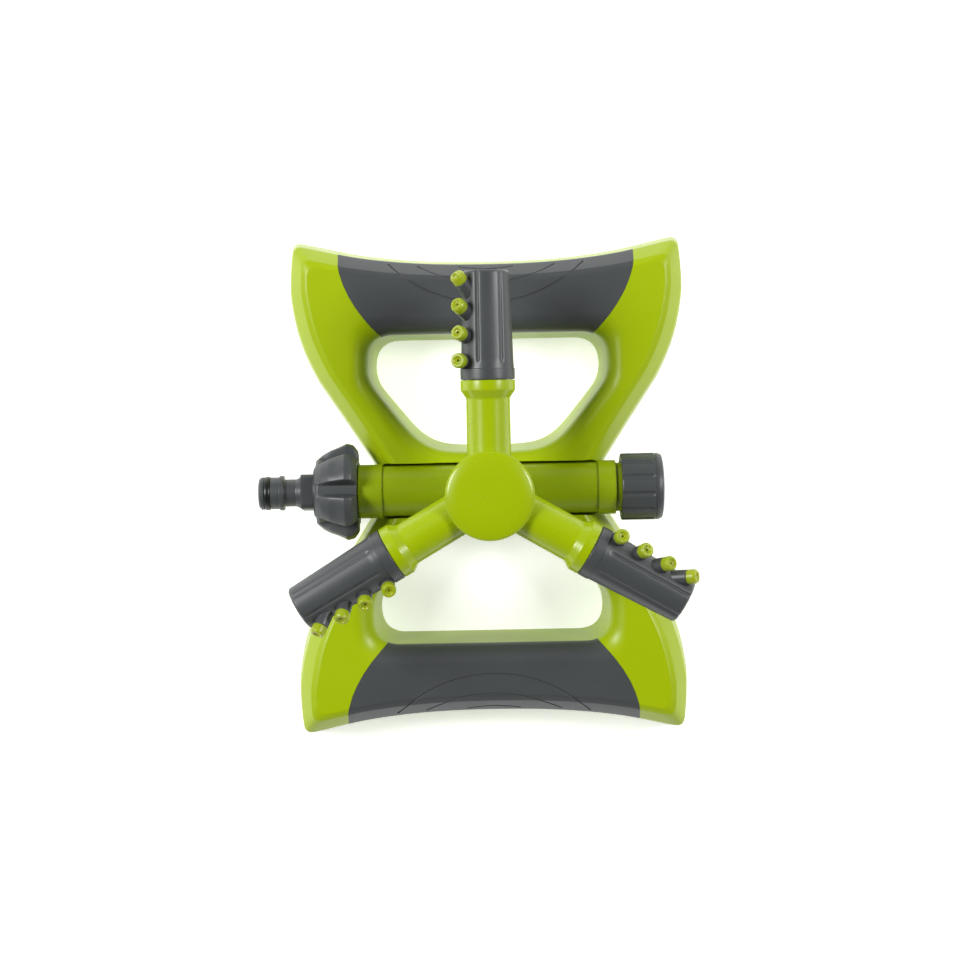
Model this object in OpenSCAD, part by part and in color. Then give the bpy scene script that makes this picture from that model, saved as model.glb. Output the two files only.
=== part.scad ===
// Rotary lawn sprinkler: moulded X-shaped base, water pipe with a hose plug and an end cap,
// and a three-armed rotor whose nozzle sleeves turn on their arms. Millimetres, +Z up,
// origin on the ground under the rotor's axis, X along the water pipe.

/* [Base] */
// Height of the base's flat top above the ground
base_h = 40; // [36:0.5:44]
// Wall thickness of the moulded base shell
wall = 2.8; // [2:0.1:3.5]
// Thickness of the soft grip skins on the end bars
grip_t = 1.2; // [0.8:0.1:1.6]
// Distance from the rotor's axis to the middle of an end bar's outer edge
bar_y = 114.5; // [112:0.5:116]

/* [Water pipe] */
// Height of the pipe's axis above the ground
pipe_z = 38; // [36:0.5:40]
// Outer radius of the pipe
pipe_r = 12.4; // [12:0.1:12.6]
// Radius of the collars at the pipe's ends
collar_r = 13.3; // [13:0.1:13.5]
// Radius over the crests of the pipe's end threads (G 3/4)
thread_r = 13.22; // [13.1:0.01:13.25]
// Radius at the roots of the pipe's end threads
root_r = 12.05; // [11.9:0.01:12.2]
// Radius of the water way
bore_r = 9.3; // [8.5:0.1:9.6]

/* [Rotor] */
// Height of the three arms' axes above the ground
arm_z = 82; // [80:0.5:86]
// Outer radius of an arm
arm_r = 10.4; // [10:0.1:11]
// Radius of the bell at an arm's end
bell_r = 13; // [12.5:0.1:13.2]
// Distance from the rotor's axis to the end of a bell
bell_end = 54; // [52:0.5:56]
// Radius of the spigot that a nozzle sleeve turns on
spigot_r = 9; // [8.6:0.1:9.2]
// Radius of the hub below its cap
hub_r = 19.5; // [19:0.1:20]
// Radius of the round cap on the hub
hub_cap_r = 21.1; // [20.5:0.1:21.5]
// Radius of the spindle that the rotor turns on
spindle_r = 7; // [6.5:0.1:7.5]
// Running clearance of every round turning fit, on the radius
fit = 0.06; // [0.03:0.01:0.09]

/* [Nozzle sleeves] */
// Distance from the rotor's axis to a sleeve's closed end
sleeve_end = 105.6; // [104:0.1:107]
// Radius of a sleeve at its collar
sleeve_r = 12.9; // [12.5:0.1:13]
// Radius of a sleeve at its closed end
sleeve_tip_r = 10.9; // [10.5:0.1:11.4]
// Radius of a nozzle tip
tip_r = 3.5; // [3.3:0.05:3.7]
// Length of a nozzle tip
tip_l = 5.7; // [5:0.1:6.5]
// Radius of the jet drilled through a nozzle tip
jet_r = 0.5; // [0.4:0.05:0.8]

/* [Hose plug and nut] */
// Radius of the plug's retaining collar
plug_r = 8.6; // [8.5:0.05:8.7]
// Width of the plug's square for a wrench
wrench_w = 17; // [16:0.5:17.5]
// Radius over the nut's six lobes
lobe_r = 24.15; // [23:0.05:24.5]

/* [End cap] */
// Radius of the end cap
cap_r = 16.5; // [16.3:0.1:17]
// Number of finger grooves round the end cap
cap_grooves = 12; // [8:1:16]

/* [Hidden] */
$fn = 64;
green = [0.60, 0.68, 0.05];
tip_green = [0.70, 0.78, 0.10];
grey = [0.36, 0.37, 0.38];
grip_grey = [0.31, 0.32, 0.32];
black = [0.06, 0.06, 0.06];
white = [0.88, 0.88, 0.85];
steel = [0.70, 0.71, 0.72];

ARMS = 3;
JETS = 4;
// For each of a sleeve's four jets, from the hub outwards: the middle of the tip's face
// (out along the arm, to the side, above the arm's axis), its lean from upright and the
// heading of that lean, counted from the arm's outward direction.
jet_face = [[63.4, 13.9, 13.8], [76.6, 13.9, 14], [89.8, 13.9, 13], [103.4, 13.9, 10.6]];
jet_lean = [19, 31, 43, 62];
jet_heading = [84, 66, 48, 36];

// ---- The base's form: two outlines, and the section that is carried round them ----

function unit(v) = v / norm(v);
function left_of(v) = [-v[1], v[0]];
// The y of an end bar's outer edge, which dips towards the middle of the bar
function bar_edge(x) = bar_y + 12 * pow(abs(x) / 98, 2.4);

// Corners of a quarter of each outline: x, y, the length of the tangents of the rounding
// there and the number of pieces in it. The first and the last only give a direction.
outer_corners = concat(
    [[56.5, -8, 0, 0], [56.5, 0, 0, 0], [56.5, 8, 6, 5], [71.7, 31.8, 0, 0], [85.6, 52.6, 0, 0],
     [98.3, 73.7, 10, 3], [100.4, 103, 4, 1], [98.3, bar_edge(98.3), 5.5, 4],
     [70.5, bar_edge(70.5), 0, 0]],
    [for (x = [59, 47, 35, 23, 12, 0, -12]) [x, bar_edge(x), 0, 0]]);
opening_corners = [[-30, 21.4, 0, 0], [0, 21, 0, 0], [30, 21.4, 14, 4], [46, 41.2, 0, 0],
                   [57.2, 55, 7, 4], [56.4, 75, 12.5, 13], [0, 75, 0, 0], [-12, 75, 0, 0]];
grip_start = 20; // where the grips begin, counted along either outline

// The limb's section: distance in from the outline, height, and the slope of the surface's
// normal there, from 0 on the walls to 90 on the flat top
outer_section = [[0, 0, 0], [3, base_h - 12, 5], [4, base_h - 7.7, 25], [6, base_h - 4.2, 50],
                 [9.3, base_h - 1.6, 62], [12, base_h, 90]];
opening_section = [[0, 0, 0], [2.5, base_h - 11.5, 5], [3.6, base_h - 7.2, 25],
                   [5.8, base_h - 3.5, 50], [8.6, base_h - 1.1, 70], [11.5, base_h, 90]];

// A rounded outline moved in by d towards the material: side 1 when that is on the left
function outline(corners, d, side) = [
    for (i = [1 : len(corners) - 2])
        let (p = [corners[i][0], corners[i][1]],
             before = unit(p - [corners[i - 1][0], corners[i - 1][1]]),
             after = unit([corners[i + 1][0], corners[i + 1][1]] - p),
             n1 = side * left_of(before), n2 = side * left_of(after),
             q = p + (n1 + n2) / (1 + n1 * n2) * d, l = corners[i][2], n = corners[i][3])
        each (n == 0 ? [q] : [for (k = [0 : n])
            let (t = k / n)
            (1 - t) * (1 - t) * (q - before * l) + 2 * t * (1 - t) * q + t * t * (q + after * l)])];

function ring(corners, s, t, side, floor_z) = [
    for (p = outline(corners, s[0] + t * cos(s[2]), side))
        [p[0], p[1], s[1] == 0 ? floor_z : s[1] - t * sin(s[2])]];

// A quarter of the surface, t inside the outer skin, as rows from the outer edge to the opening
function quarter_rows(t, floor_z) = concat(
    [for (s = outer_section) ring(outer_corners, s, t, 1, floor_z)],
    [for (k = [len(opening_section) - 1 : -1 : 0])
        ring(opening_corners, opening_section[k], t, -1, floor_z)]);

function flat(v) = abs(v) < 1e-6 ? 0 : v;

// The solid under the whole surface, t inside the outer skin and down to floor_z
module form(t, floor_z = 0) {
    rows = quarter_rows(t, floor_z);
    m = len(rows);
    n = len(rows[0]);
    half = len(outer_section);
    top = m * n;
    bottom = top + 1;
    quarter = concat([for (r = rows) each r], [[0, 0, base_h - t], [0, 0, floor_z]]);
    faces = concat(
        [for (j = [0 : m - 2]) for (i = [0 : n - 2])
            let (a = j * n + i, b = a + n) each [[a, b, b + 1], [a, b + 1, a + 1]]],
        [for (i = [0 : n - 2])
            let (a = i, b = (m - 1) * n + i) each [[a, a + 1, b + 1], [a, b + 1, b]]],
        [[(half - 1) * n, top, half * n], [0, (m - 1) * n, bottom]]);
    signs = [[1, 1], [-1, 1], [-1, -1], [1, -1]];
    points = [for (s = signs) for (p = quarter) [flat(s[0] * p[0]), flat(s[1] * p[1]), p[2]]];
    all_faces = [for (q = [0 : 3]) for (f = faces)
        let (o = q * len(quarter))
        q % 2 == 0 ? [f[0] + o, f[1] + o, f[2] + o] : [f[0] + o, f[2] + o, f[1] + o]];
    polyhedron(points, all_faces, convexity = 8);
}

// A skin over the back end bar, between t0 and t1 inside the base's own surface. It is wider
// by gap at both ends, and lower by gap.
module bar_skin(t0, t1, gap = 0) {
    over = quarter_rows(t0, 0);
    under = quarter_rows(t1, 0);
    n = len(over[0]);
    reach = n - 1 - grip_start;
    rows = [1 : len(over) - 2];
    m = len(over) - 2;
    w = 2 * reach + 1;
    function place(row, k) = let (p = row[n - 1 - abs(k)])
        [sign(k) * (p[0] + (abs(k) == reach ? gap : 0)), p[1], p[2] - gap];
    points = concat([for (j = rows) for (k = [reach : -1 : -reach]) place(over[j], k)],
                    [for (j = rows) for (k = [reach : -1 : -reach]) place(under[j], k)]);
    h = m * w;
    faces = concat(
        [for (j = [0 : m - 2]) for (i = [0 : w - 2])
            let (a = j * w + i, b = a + w)
            each [[a, b, b + 1], [a, b + 1, a + 1],
                  [h + a, h + b + 1, h + b], [h + a, h + a + 1, h + b + 1]]],
        [for (j = [0 : m - 2])
            let (a = j * w, b = a + w, c = a + w - 1, d = c + w)
            each [[a, h + a, h + b], [a, h + b, b], [c, h + d, h + c], [c, d, h + d]]],
        [for (i = [0 : w - 2])
            let (a = i, b = (m - 1) * w + i)
            each [[a, h + a + 1, h + a], [a, a + 1, h + a + 1],
                  [b, h + b, h + b + 1], [b, h + b + 1, b + 1]]]);
    polyhedron(points, faces, convexity = 6);
}

// ---- Base ----

post_x = 24;        // screw posts either side of the rotor's axis
trough_r = 13.7;    // the trough that the pipe lies in
trough_wall = 3;

module rib(a, b) {
    hull() {
        for (p = [a, b]) translate([p[0], p[1], 4]) cylinder(d = 2, h = base_h - 5, $fn = 12);
    }
}

module limb_ribs() {
    for (sx = [0, 1], sy = [0, 1]) mirror([sx, 0, 0]) mirror([0, sy, 0]) {
        rib([60, 9], [30, 27]);
        rib([84, 47], [48, 59]);
        rib([94, 116], [52, 71]);
        rib([33, 119], [31, 72]);
    }
}

module base_shell() {
    color(green) difference() {
        union() {
            difference() {
                form(0);
                form(wall, -1);
            }
            intersection() {
                form(0.5);
                union() {
                    limb_ribs();
                    translate([-60, -trough_r - trough_wall, pipe_z - trough_r - trough_wall])
                        cube([120, 2 * (trough_r + trough_wall), base_h]);
                    translate([-50, -1.3, 0]) cube([100, 2.6, 23]);
                    cylinder(r = 6, h = 23);
                    for (x = [-post_x, post_x]) translate([x, 0, 12.5]) cylinder(r = 7, h = 10.5);
                }
            }
        }
        translate([-70, 0, pipe_z]) rotate([0, 90, 0]) cylinder(r = trough_r, h = 140);
        for (x = [-post_x, post_x]) translate([x, 0, 0]) {
            translate([0, 0, 19.2]) rotate([0, 0, 2]) cylinder(r = 4.7, h = 8);
            translate([0, 0, -1]) cylinder(r = 4.3, h = 16.5);
            cylinder(r = 1.9, h = 30);
        }
        for (sy = [0, 1]) mirror([0, sy, 0]) translate([0.05, 0, 0]) bar_skin(-1, grip_t + 0.05, 0.1);
    }
}

module grip_back() {
    color(grip_grey) bar_skin(0, grip_t);
}

module grip_front() {
    color(grip_grey) mirror([0, 1, 0]) bar_skin(0, grip_t);
}

// ---- Water pipe. Along it, z of the children is the x of the sprinkler ----

inlet_end = -78;    // the pipe's two end faces
outlet_end = 79.5;
boss_top = 60;

module on_pipe() {
    translate([0, 0, pipe_z]) rotate([0, 90, 0]) children();
}

module water_pipe() {
    color(green) difference() {
        union() {
            on_pipe() rotate_extrude() polygon([
                [0, inlet_end], [root_r, inlet_end], [thread_r, inlet_end + 1.2],
                [thread_r, -66.8], [root_r, -66.2], [root_r, -64.8], [collar_r, -64.7],
                [collar_r, -52.9], [pipe_r, -52.9], [pipe_r, 53.4], [collar_r, 53.4],
                [collar_r, 62.1], [root_r, 62.1], [root_r, 66], [thread_r, 66.6],
                [thread_r, outlet_end - 1.2], [root_r, outlet_end], [0, outlet_end]]);
            translate([0, 0, pipe_z]) cylinder(r = 14, h = boss_top - pipe_z);
            for (x = [-post_x, post_x]) translate([x, 0, 19.6]) cylinder(r = 4.2, h = 8.4);
        }
        on_pipe() translate([0, 0, inlet_end - 1])
            cylinder(r = bore_r, h = outlet_end - inlet_end + 2);
        translate([0, 0, pipe_z]) cylinder(r = 8, h = boss_top);
        for (x = [-post_x, post_x]) translate([x, 0, 18]) cylinder(r = 1.45, h = 9.4);
    }
}

module pipe_screws() {
    color(steel) for (x = [-post_x, post_x]) translate([x, 0, 0]) {
        difference() {
            translate([0, 0, 13.2]) cylinder(r = 3.6, h = 2.3);
            for (a = [0, 90]) rotate([0, 0, a]) translate([-2.2, -0.4, 13]) cube([4.4, 0.8, 1.4]);
        }
        translate([0, 0, 15.5]) cylinder(r = 1.44, h = 11.3);
    }
}

// ---- Spindle and what holds the rotor on it ----

spindle_top = 90;
rotor_z = 64;       // underside of the rotor
seal_z = 68.5;

module spindle() {
    color(white) difference() {
        rotate_extrude() polygon([
            [0, 49], [8, 49], [8, boss_top], [11, boss_top], [11, boss_top + 2],
            [spindle_r, boss_top + 2], [spindle_r, seal_z - 1], [spindle_r - 1.1, seal_z - 1],
            [spindle_r - 1.1, seal_z + 1], [spindle_r, seal_z + 1], [spindle_r, spindle_top],
            [0, spindle_top]]);
        translate([0, 0, 48]) cylinder(r = 4.6, h = 37);
        for (a = [0 : 120 : 240]) rotate([0, 0, a]) translate([0, 0, 80])
            rotate([0, 90, 0]) cylinder(r = 2.6, h = 12);
        translate([0, 0, spindle_top - 6]) cylinder(r = 1.45, h = 10);
    }
}

module spindle_o_ring() {
    color(black) translate([0, 0, seal_z])
        rotate_extrude() translate([spindle_r - 0.55, 0]) circle(r = 0.54);
}

module thrust_washer() {
    color(white) translate([0, 0, boss_top + 2]) difference() {
        cylinder(r = 10.8, h = 1.7);
        translate([0, 0, -1]) cylinder(r = spindle_r + 0.1, h = 4);
    }
}

module retaining_washer() {
    color(steel) translate([0, 0, spindle_top]) difference() {
        cylinder(r = 9.4, h = 1);
        translate([0, 0, -1]) cylinder(r = 1.7, h = 3);
    }
}

module retaining_screw() {
    color(steel) translate([0, 0, spindle_top]) difference() {
        union() {
            translate([0, 0, 1]) cylinder(r = 3.4, h = 1.6);
            translate([0, 0, -5.5]) cylinder(r = 1.44, h = 6.6);
        }
        for (a = [0, 90]) rotate([0, 0, a]) translate([-2, -0.4, 1.8]) cube([4, 0.8, 1]);
    }
}

// ---- Rotor ----

bead_x = 68;        // snap bead that keeps a sleeve on its spigot
ring_x = 63.5;      // seal on the spigot
spigot_end = 71;

// Along an arm, z of the children is the distance out from the rotor's axis
module on_arm(i) {
    rotate([0, 0, 90 + 120 * (i - 1)]) translate([0, 0, arm_z]) rotate([0, 90, 0]) children();
}

module rotor_body() {
    color(green) difference() {
        union() {
            rotate_extrude() polygon([
                [0, rotor_z], [10.6, rotor_z], [12, rotor_z + 1.4], [hub_r - 3.5, 70],
                [hub_r, 73.5], [hub_r, 92.4], [0, 92.4]]);
            for (i = [1 : ARMS]) on_arm(i) rotate_extrude() polygon([
                [0, 0], [arm_r, 0], [arm_r, 46.4], [bell_r, 49.6], [bell_r, bell_end],
                [spigot_r, bell_end], [spigot_r, ring_x - 0.9], [spigot_r - 1, ring_x - 0.9],
                [spigot_r - 1, ring_x + 0.9], [spigot_r, ring_x + 0.9], [spigot_r, bead_x - 0.8],
                [spigot_r + 0.4, bead_x - 0.4], [spigot_r + 0.4, bead_x + 0.4],
                [spigot_r, bead_x + 0.8], [spigot_r, spigot_end], [0, spigot_end]]);
        }
        translate([0, 0, rotor_z - 1]) cylinder(r = spindle_r + fit, h = 26.6);
        translate([0, 0, 74]) cylinder(r = 12, h = 13);
        translate([0, 0, 89.6]) cylinder(r = 12, h = 4);
        for (i = [1 : ARMS]) on_arm(i) translate([0, 0, 11]) cylinder(r = 6.4, h = spigot_end);
    }
}

module hub_cap() {
    color(green) difference() {
        rotate_extrude() polygon([
            [0, 92.6], [10.4, 92.6], [10.4, 91.6], [11.9, 91.6], [11.9, 92.6],
            [hub_cap_r - 0.2, 92.6], [hub_cap_r, 92.9], [hub_cap_r, 95.2],
            [hub_cap_r - 0.9, 96.1], [15, 96.9], [8, 97.3], [0, 97.4]]);
        translate([0, 0, 92]) cylinder(r = 5, h = 2.2);
    }
}

module sleeve_o_ring(i) {
    color(black) on_arm(i) translate([0, 0, ring_x])
        rotate_extrude() translate([spigot_r - 0.5, 0]) circle(r = 0.49);
}

// ---- Nozzle sleeves ----

// The frame of jet k on arm i: origin at the middle of its tip's face, +z along the jet
module on_jet(i, k) {
    rotate([0, 0, 90 + 120 * (i - 1)])
        translate([jet_face[k - 1][0], jet_face[k - 1][1], arm_z + jet_face[k - 1][2]])
            rotate([0, 0, jet_heading[k - 1]]) rotate([0, jet_lean[k - 1], 0]) children();
}

module nozzle_sleeve(i) {
    start = bell_end + 0.3;
    color(grey) difference() {
        union() {
            on_arm(i) rotate_extrude() polygon([
                [0, start], [sleeve_r, start], [sleeve_r, 59.6], [sleeve_r - 0.5, 60.2],
                [sleeve_tip_r, sleeve_end - 0.8], [sleeve_tip_r - 0.8, sleeve_end],
                [0, sleeve_end]]);
            for (k = [1 : JETS]) on_jet(i, k) translate([0, 0, -tip_l - 7])
                cylinder(r = tip_r, h = 7);
        }
        on_arm(i) {
            translate([0, 0, start - 1]) cylinder(r = spigot_r + fit, h = spigot_end - start + 1.5);
            translate([0, 0, bead_x - 1]) cylinder(r = spigot_r + 0.8, h = 2);
            translate([0, 0, start]) cylinder(r = 8.2, h = sleeve_end - start - 3);
        }
        for (k = [1 : JETS]) on_jet(i, k) translate([0, 0, -tip_l - 9]) cylinder(r = 1.9, h = 10);
    }
}

module nozzle_tip(i, k) {
    color(tip_green) on_jet(i, k) rotate_extrude() polygon([
        [jet_r, -tip_l - 3], [1.85, -tip_l - 3], [1.85, -tip_l], [tip_r - 0.05, -tip_l],
        [tip_r - 0.05, -1.6], [tip_r - 0.35, -0.4], [tip_r - 0.8, 0], [2, 0], [1.6, -0.6],
        [jet_r, -0.6]]);
}

// ---- Inlet: hose plug, its nut and seals ----

module inlet_nipple() {
    color(grey) difference() {
        union() {
            on_pipe() rotate_extrude() polygon([
                [0, -114.1], [7.2, -114.1], [8, -113.2], [8.1, -111.6], [7.2, -111.5],
                [7.2, -108.3], [7.9, -108.2], [7.9, -104.2], [plug_r, -103.9], [plug_r, -101.8],
                [6.75, -101.6], [6.75, -96], [7.6, -94], [8, -93.3], [8, -86.9], [9.7, -86.8],
                [9.7, -82.5], [12.2, -82.5], [12.2, -80], [0, -80]]);
            on_pipe() rotate([0, 0, -8]) translate([0, 0, -93.3]) linear_extrude(6.4)
                intersection() {
                    square(wrench_w, center = true);
                    circle(r = wrench_w * 0.635);
                }
        }
        on_pipe() translate([0, 0, -115]) cylinder(r = 4.8, h = 40);
    }
}

module nipple_o_ring() {
    color(black) on_pipe() translate([0, 0, -109.9])
        rotate_extrude() translate([7.2, 0]) intersection() {
            translate([0.6, 0]) scale([1, 2.4]) circle(r = 0.6);
            translate([0.02, -2]) square([2, 4]);
        }
}

module inlet_washer() {
    color(black) on_pipe() translate([0, 0, -80]) difference() {
        cylinder(r = 12, h = 1.95);
        translate([0, 0, -1]) cylinder(r = 7, h = 4);
    }
}

module coupling_nut() {
    color(grey) on_pipe() difference() {
        union() {
            rotate_extrude() polygon([
                [0, -86.9], [12.2, -86.9], [12.4, -85.8], [16.3, -85.6], [17.4, -84],
                [17.6, -65], [0, -65]]);
            intersection() {
                rotate_extrude() polygon([
                    [0, -85.6], [16.6, -85.6], [18.2, -82.6], [20.8, -78.6], [23.2, -73.2],
                    [lobe_r, -69.8], [lobe_r, -68], [22.6, -65.8], [20, -65.2], [0, -65.2]]);
                translate([0, 0, -88]) linear_extrude(25) difference() {
                    circle(r = lobe_r + 1);
                    for (a = [0 : 60 : 300]) rotate(175 + a) translate([lobe_r - 1.2, 0])
                        circle(r = 5.2);
                }
            }
        }
        translate([0, 0, -82.6]) cylinder(r = thread_r + fit, h = 20);
        translate([0, 0, -88]) cylinder(r = 11.2, h = 10);
    }
}

// ---- Outlet end cap ----

module cap_washer() {
    color(black) on_pipe() translate([0, 0, outlet_end + 0.05]) cylinder(r = 12, h = 1.9);
}

module end_cap() {
    groove_r = 1.75;
    color(grey) on_pipe() difference() {
        rotate_extrude() polygon([
            [0, 64.8], [cap_r - 0.5, 64.8], [cap_r, 65.3], [cap_r, 82.2], [cap_r - 0.5, 84.4],
            [13, 85.4], [6, 85.9], [0, 86]]);
        translate([0, 0, 60]) cylinder(r = thread_r + fit, h = 21.55);
        for (a = [0 : 360 / cap_grooves : 359]) rotate([0, 0, 180 + 10 + a])
            translate([cap_r + 0.9, 0, 0]) {
                translate([0, 0, 64]) cylinder(r = groove_r, h = 15.5);
                translate([0, 0, 79.5]) sphere(r = groove_r);
            }
    }
}

base_shell();
grip_back();
grip_front();
water_pipe();
pipe_screws();
spindle();
spindle_o_ring();
thrust_washer();
retaining_washer();
retaining_screw();
rotor_body();
hub_cap();
for (i = [1 : ARMS]) {
    sleeve_o_ring(i);
    nozzle_sleeve(i);
    for (k = [1 : JETS])
        nozzle_tip(i, k);
}
inlet_nipple();
nipple_o_ring();
inlet_washer();
coupling_nut();
cap_washer();
end_cap();
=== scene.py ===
import bmesh
import bpy
import numpy as np
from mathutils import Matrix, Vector


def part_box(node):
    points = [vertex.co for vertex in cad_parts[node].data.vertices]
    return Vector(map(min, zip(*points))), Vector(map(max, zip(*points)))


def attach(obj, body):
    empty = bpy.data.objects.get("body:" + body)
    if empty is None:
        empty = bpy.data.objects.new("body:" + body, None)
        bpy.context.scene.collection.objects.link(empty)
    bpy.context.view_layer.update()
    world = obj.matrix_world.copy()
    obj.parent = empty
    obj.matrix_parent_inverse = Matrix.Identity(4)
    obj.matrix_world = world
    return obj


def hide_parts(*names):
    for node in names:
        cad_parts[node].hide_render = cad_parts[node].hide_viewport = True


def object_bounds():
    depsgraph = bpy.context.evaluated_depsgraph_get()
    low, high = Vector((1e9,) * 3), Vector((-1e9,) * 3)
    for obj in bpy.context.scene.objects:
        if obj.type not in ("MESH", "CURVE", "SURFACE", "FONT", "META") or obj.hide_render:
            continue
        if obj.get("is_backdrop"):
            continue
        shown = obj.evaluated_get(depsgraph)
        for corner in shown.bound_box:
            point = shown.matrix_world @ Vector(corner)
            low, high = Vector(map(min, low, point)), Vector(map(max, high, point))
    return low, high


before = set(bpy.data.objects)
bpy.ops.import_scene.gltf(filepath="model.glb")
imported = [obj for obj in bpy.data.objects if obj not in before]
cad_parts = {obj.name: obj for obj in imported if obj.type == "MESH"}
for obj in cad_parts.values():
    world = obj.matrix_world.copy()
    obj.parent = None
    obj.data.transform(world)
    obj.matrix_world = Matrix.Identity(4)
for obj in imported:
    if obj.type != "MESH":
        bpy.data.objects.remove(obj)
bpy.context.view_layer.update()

# ---------------------------------------------------------------------------------------
# Base shell. One moulding of lime-green plastic, shaped like an X in plan, with a hand gap
# on each side of the water pipe. It is hollow and open below, where thin ribs stiffen it;
# a trough across its waist holds the pipe, and two screws come up through round pads.
# ---------------------------------------------------------------------------------------

# Lengths are in millimetres until `solid` turns them into metres
MILLIMETRE = 0.001
base_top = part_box("base_shell")[1].z / MILLIMETRE
wall = 2.8


def span(node, axis):
    """Where a CAD node begins and ends along an axis (0, 1, 2), in mm to a hundredth."""
    low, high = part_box(node)
    return round(low[axis] / MILLIMETRE, 2), round(high[axis] / MILLIMETRE, 2)


def rounded(corners, turn_per_piece=np.radians(8)):
    """A line through corners (x, y, radius). Each corner is eased by an arc of its radius,
    which starts and ends radius * tan(half the turn) from the corner."""
    corners = np.array(corners, float)
    line = [corners[:1, :2]]
    for before, corner, after in zip(corners[:-2, :2], corners[1:-1], corners[2:, :2]):
        point, radius = corner[:2], corner[2]
        back = (before - point) / np.linalg.norm(before - point)
        on = (after - point) / np.linalg.norm(after - point)
        turn = np.arccos(np.clip(-back @ on, -1, 1))
        if radius == 0 or turn < 0.01:
            line.append([point])
            continue
        centre = point + (back + on) / np.linalg.norm(back + on) * radius / np.cos(turn / 2)
        start = point + back * radius * np.tan(turn / 2) - centre
        end = point + on * radius * np.tan(turn / 2) - centre
        t = np.linspace(0, 1, max(3, int(turn / turn_per_piece) + 2))[:, None]
        arc = (np.sin((1 - t) * turn) * start + np.sin(t * turn) * end) / np.sin(turn)
        line.append(centre + arc)
    line.append(corners[-1:, :2])
    return np.vstack(line)


def solid(name, *grids):
    """One closed mesh of grids of points. Each cell of a grid is a face, points that meet are
    merged, so seams and poles close, and the faces are turned outwards."""
    shape = bmesh.new()
    for grid in grids:
        rows, columns = grid.shape[:2]
        corner = np.arange(rows * columns).reshape(rows, columns)
        cells = np.stack([corner[:-1, :-1], corner[:-1, 1:], corner[1:, 1:], corner[1:, :-1]], -1)
        part = bpy.data.meshes.new("part")
        part.from_pydata(grid.reshape(-1, 3) * MILLIMETRE, [], cells.reshape(-1, 4).tolist())
        shape.from_mesh(part)
        bpy.data.meshes.remove(part)
    bmesh.ops.remove_doubles(shape, verts=shape.verts, dist=2e-7)
    bmesh.ops.dissolve_degenerate(shape, edges=shape.edges, dist=1e-7)
    bmesh.ops.delete(shape, geom=[e for e in shape.edges if e.is_wire], context="EDGES")
    bmesh.ops.recalc_face_normals(shape, faces=shape.faces)
    mesh = bpy.data.meshes.new(name)
    shape.to_mesh(mesh)
    shape.free()
    made = bpy.data.objects.new(name, mesh)
    bpy.context.scene.collection.objects.link(made)
    return made


def combine(first, *steps):
    """The first solid with others joined to it ("UNION"), cut from it ("DIFFERENCE") or kept
    in common with it ("INTERSECT"), in turn. The others are used up."""
    for operation, other in steps:
        boolean = first.modifiers.new("carve", "BOOLEAN")
        boolean.operation = operation
        boolean.solver = "MANIFOLD"
        boolean.object = other
        bpy.context.view_layer.update()
        carved = bpy.data.meshes.new_from_object(
            first.evaluated_get(bpy.context.evaluated_depsgraph_get()))
        old, carved.name = first.data, first.name
        first.modifiers.clear()
        first.data = carved
        bpy.data.meshes.remove(old)
        bpy.data.objects.remove(other)
    return first


def outline(corners, inset, side, fine=6, passes=14):
    """An outline moved by inset towards the material. Its corners (x, y, tangent, pieces) are
    rounded by parabolas, every piece is cut in `fine` and the points are averaged with their
    neighbours a few times, mirrored at both ends, so that the line bends evenly."""
    corners = np.array(corners, float)
    way = np.diff(corners[:, :2], axis=0)
    way /= np.linalg.norm(way, axis=1)[:, None]
    across = side * np.stack([-way[:, 1], way[:, 0]], 1)
    share = 1 + (across[:-1] * across[1:]).sum(1)
    middle = corners[1:-1, :2] + inset * (across[:-1] + across[1:]) / share[:, None]
    line = []
    for point, before, after, (reach, pieces) in zip(middle, way[:-1], way[1:], corners[1:-1, 2:]):
        t = np.linspace(0, 1, int(pieces) + 1)[:, None] if pieces else np.full((1, 1), 0.5)
        reach = reach if pieces else 0
        line.append((1 - t) ** 2 * (point - before * reach) + 2 * t * (1 - t) * point
                    + t ** 2 * (point + after * reach))
    line = np.vstack(line)
    station = np.arange(0, (len(line) - 1) * fine + 1) / fine
    line = np.stack([np.interp(station, np.arange(len(line)), line[:, a]) for a in (0, 1)], 1)
    first = [1, -1] if side > 0 else [-1, 1]
    for _ in range(passes):
        padded = np.vstack([line[1:2] * first, line, line[-2:-1] * [-1, 1]])
        line = (padded[:-2] + 2 * padded[1:-1] + padded[2:]) / 4
    line[0, 1 if side > 0 else 0] = 0
    line[-1, 0] = 0
    return line


def bar_edge(x):
    """The y of an end bar's outer edge, which dips towards the middle of the bar."""
    return 114.5 + 12 * (np.abs(x) / 98) ** 2.4


bar_x = [59, 47, 35, 23, 12, 0, -12]
outer_corners = [(56.5, -8, 0, 0), (56.5, 0, 0, 0), (56.5, 8, 6, 5), (71.7, 31.8, 0, 0),
                 (85.6, 52.6, 0, 0), (98.3, 73.7, 22, 3), (100.4, 103, 4, 1),
                 (98.3, bar_edge(98.3), 5.5, 4), (70.5, bar_edge(70.5), 0, 0),
                 *[(x, bar_edge(x), 0, 0) for x in bar_x]]
gap_corners = [(-30, 21.4, 0, 0), (0, 21, 0, 0), (30, 21.4, 14, 4), (46, 41.2, 0, 0),
               (57.2, 55, 7, 4), (56.4, 75, 12.5, 13), (0, 75, 0, 0), (-12, 75, 0, 0)]

# The two edges of the section, as (distance in from the outline, height, radius)
outer_edge = rounded([(0, 0, 0), (3, base_top - 10.8, 5), (8.9, base_top - 1.8, 1.4),
                      (11.6, base_top, 2.4), (12.6, base_top, 0)])
gap_edge = rounded([(0, 0, 0), (2.9, base_top, 9.2), (12.2, base_top, 0)])


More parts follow.
